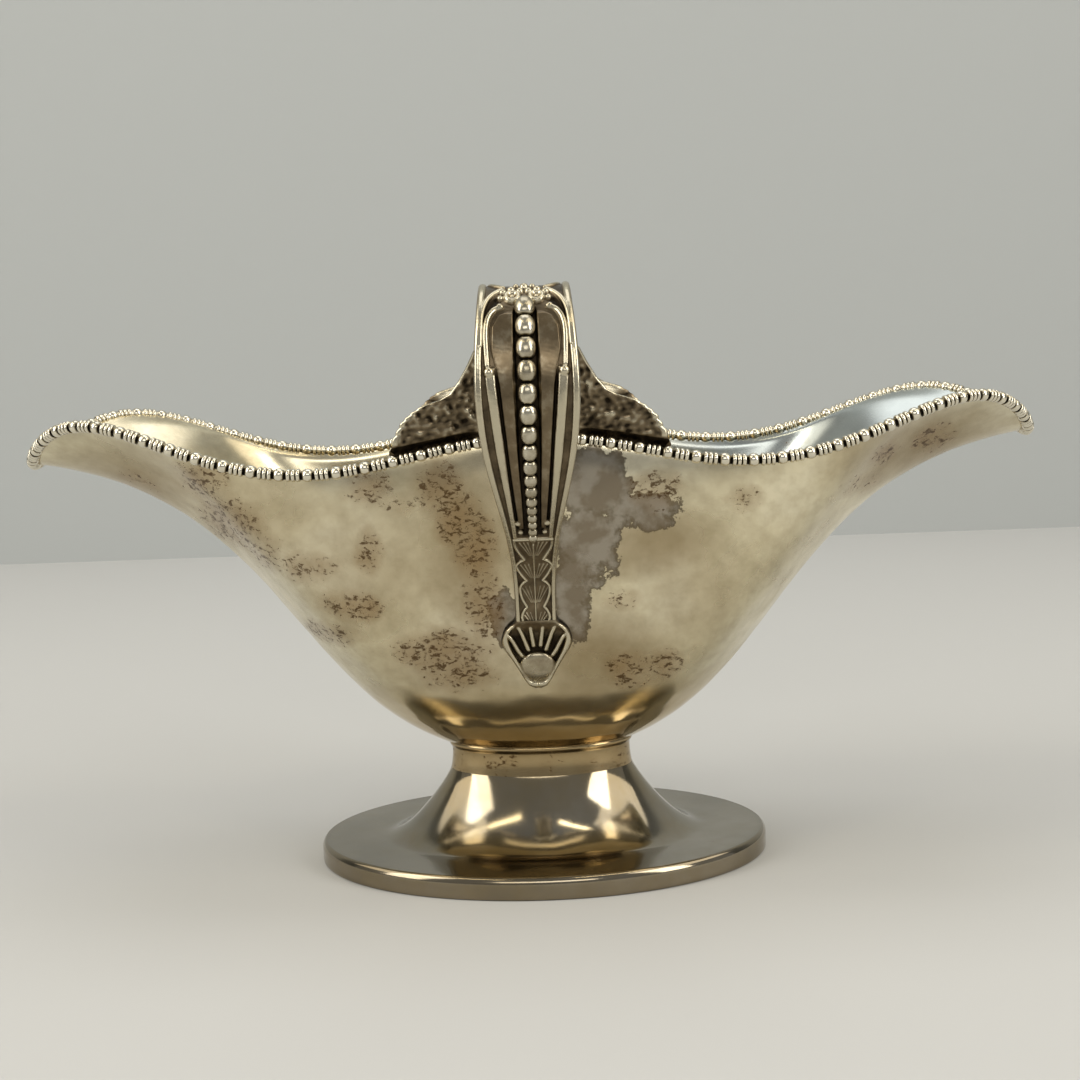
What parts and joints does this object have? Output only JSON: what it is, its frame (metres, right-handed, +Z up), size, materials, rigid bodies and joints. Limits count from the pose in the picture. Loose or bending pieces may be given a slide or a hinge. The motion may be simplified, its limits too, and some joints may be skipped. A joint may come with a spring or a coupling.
{
  "type": "double-lipped sauce boat",
  "caption": "Footed oval silver sauce boat with a pouring lip at each end, a beaded rim and a scroll handle on each long side.",
  "frame": {"origin": "on the table, under the middle of the foot", "axes": "+X toward the right pouring lip, +Y toward the back handle, +Z up"},
  "size_m": [0.2426, 0.1488, 0.1386],
  "materials": {
    "silver_sheet": "polished silver sheet with a warm uneven tarnish and brown specks",
    "silver_bright": "silver kept brighter by wear, dark in the hollows",
    "silver_oxidised": "cast silver, oxidised brown in the hollows and rubbed bright on the edges"
  },
  "bodies": {
    "root": {"bead_row_back": "silver_bright", "bead_row_front": "silver_bright", "bowl": "silver_sheet", "foot_collar": "silver_sheet", "foot_pedestal": "silver_sheet", "foot_rim_band": "silver_bright", "handle_strap_back": "silver_oxidised", "handle_strap_front": "silver_oxidised", "palmette_back": "silver_oxidised", "palmette_front": "silver_oxidised", "rim_moulding_left": "silver_bright", "rim_moulding_right": "silver_bright", "shoulder_leaf_back": "silver_oxidised", "shoulder_leaf_front": "silver_oxidised"}
  },
  "joints": []
}
